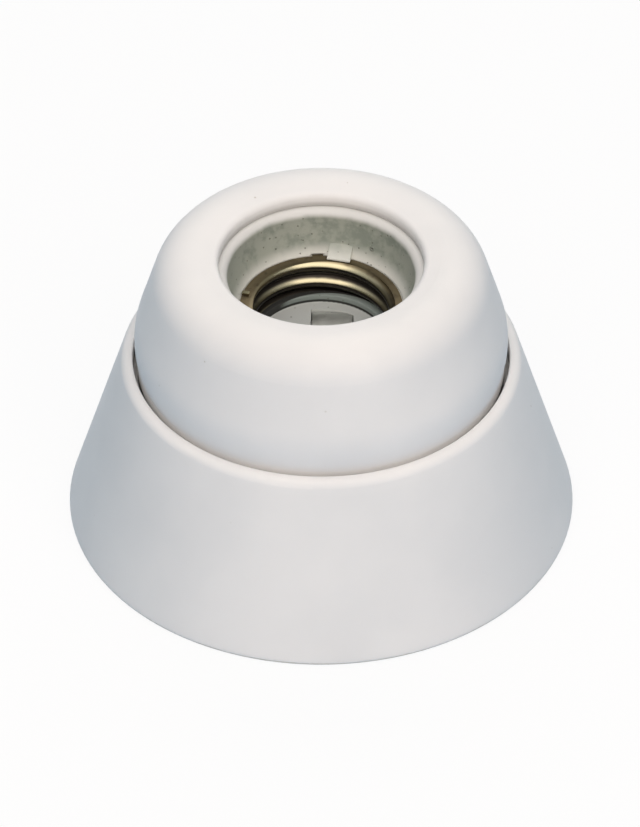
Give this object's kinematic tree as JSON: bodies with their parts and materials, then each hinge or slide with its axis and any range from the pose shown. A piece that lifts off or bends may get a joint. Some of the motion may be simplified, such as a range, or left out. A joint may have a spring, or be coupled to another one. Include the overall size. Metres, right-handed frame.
{
  "type": "porcelain lampholder",
  "caption": "Surface lampholder of white glazed porcelain: a conical base that screws to a ceiling or wall, a lift-off cover and a brass lamp thread over a sprung contact.",
  "frame": {"origin": "on the lamp axis, in the plane of the base's mounting face", "axes": "+Z along the lamp axis, out of the mouth; the fixing screw holes lie along Y"},
  "size_m": [0.092, 0.092, 0.0564],
  "materials": {
    "porcelain": "satin white glaze",
    "shell_brass": "dull rolled brass",
    "contact_bronze": "dull plated spring bronze",
    "terminal_brass": "machined brass",
    "fixing_steel": "zinc plated steel"
  },
  "bodies": {
    "holder": {"base": "porcelain", "socket_body": "porcelain", "screw_shell": "shell_brass", "contact_screws": "terminal_brass", "live_terminal": "terminal_brass", "neutral_terminal": "terminal_brass", "terminal_screws": "terminal_brass", "fixing_screws": "fixing_steel", "fixing_washers": "fixing_steel", "fixing_nuts": "fixing_steel"},
    "cover": {"cover": "porcelain"},
    "contact": {"centre_contact": "contact_bronze"}
  },
  "joints": [
    {"name": "cover_lift", "type": "slide", "parent": "holder", "child": "cover", "axis": [0, 0, 1], "range_m": [0, 0.045]},
    {"name": "contact_flex", "type": "hinge", "parent": "holder", "child": "contact", "pos_m": [0.002, -0.0066, 0.03536], "axis": [1, 0, 0], "range_deg": [-4, 0], "stiffness_Nm_per_rad": 0.3}
  ]
}
